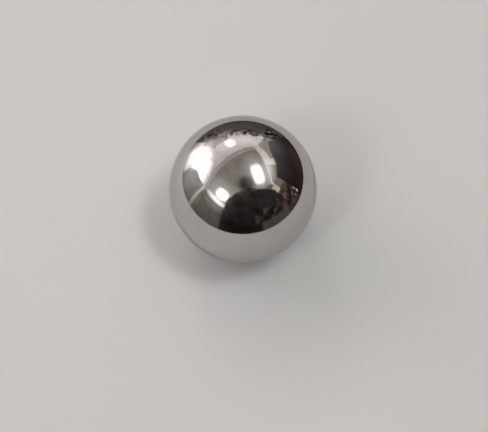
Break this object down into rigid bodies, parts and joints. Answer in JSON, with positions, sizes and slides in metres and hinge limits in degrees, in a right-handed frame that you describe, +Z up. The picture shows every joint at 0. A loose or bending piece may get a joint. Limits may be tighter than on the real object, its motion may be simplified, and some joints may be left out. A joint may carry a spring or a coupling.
{
  "type": "steel ball",
  "caption": "Solid round steel ball with a mirror-polished surface, a plain sphere in one piece with no hole, flat or seam.",
  "frame": {"origin": "centre of the ball", "axes": "+Z up, through the top of the ball; the ball looks the same along every axis"},
  "size_m": [0.05, 0.05, 0.05],
  "materials": {
    "polished_steel": "polished"
  },
  "bodies": {
    "root": {"ball": "polished_steel"}
  },
  "joints": []
}
